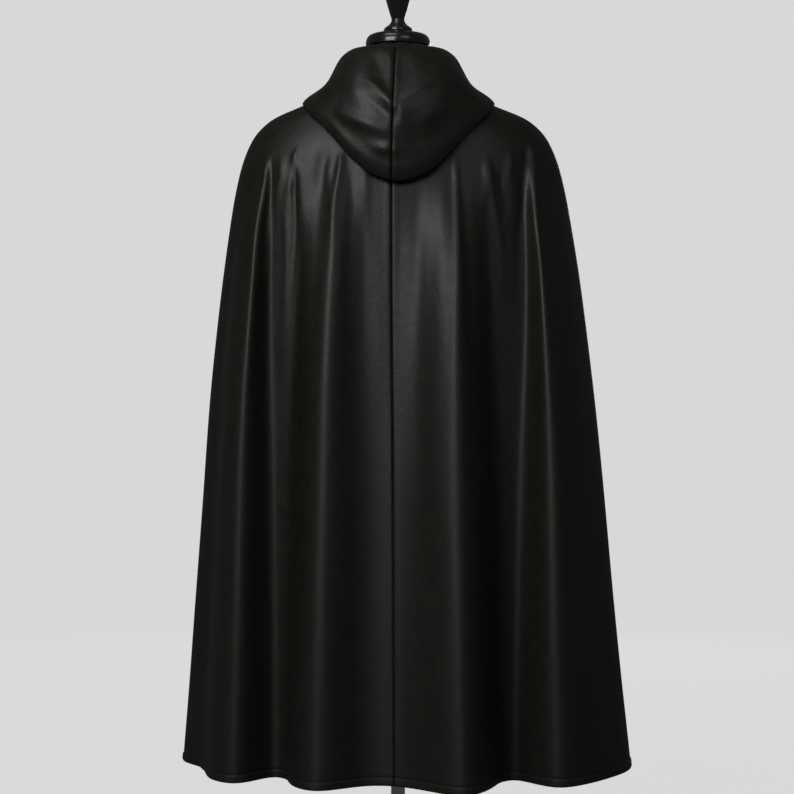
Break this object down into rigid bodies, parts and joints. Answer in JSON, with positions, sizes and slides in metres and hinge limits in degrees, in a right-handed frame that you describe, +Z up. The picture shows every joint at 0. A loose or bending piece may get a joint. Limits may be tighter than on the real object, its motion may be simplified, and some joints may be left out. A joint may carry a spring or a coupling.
{
  "type": "hooded cloak on dress form",
  "caption": "Full-length hooded leather cloak in deep hanging folds, hood lowered on the back, resting on a limbless dress form with a turned finial, pole and round base.",
  "frame": {"origin": "on the floor, at the middle of the round base", "axes": "+Z up, +X to the wearer's left, +Y to the wearer's back, which is the side with the lowered hood"},
  "size_m": [0.8001, 0.678, 1.675],
  "materials": {
    "black_leather": "smooth, soft sheen",
    "black_metal": "satin",
    "black_jersey": "matte knit",
    "black_lacquered_wood": "gloss lacquer",
    "bright_steel": "polished"
  },
  "bodies": {
    "root": {"back_left": "black_leather", "back_right": "black_leather", "front_left": "black_leather", "front_right": "black_leather", "hood_left": "black_leather", "hood_right": "black_leather", "neck_tab": "black_leather", "stud_left": "black_metal", "stud_right": "black_metal", "dress_form": "black_jersey", "neck_cap": "black_lacquered_wood", "finial": "black_lacquered_wood", "torso_plate": "black_metal", "pole": "bright_steel", "base": "black_metal"}
  },
  "joints": []
}
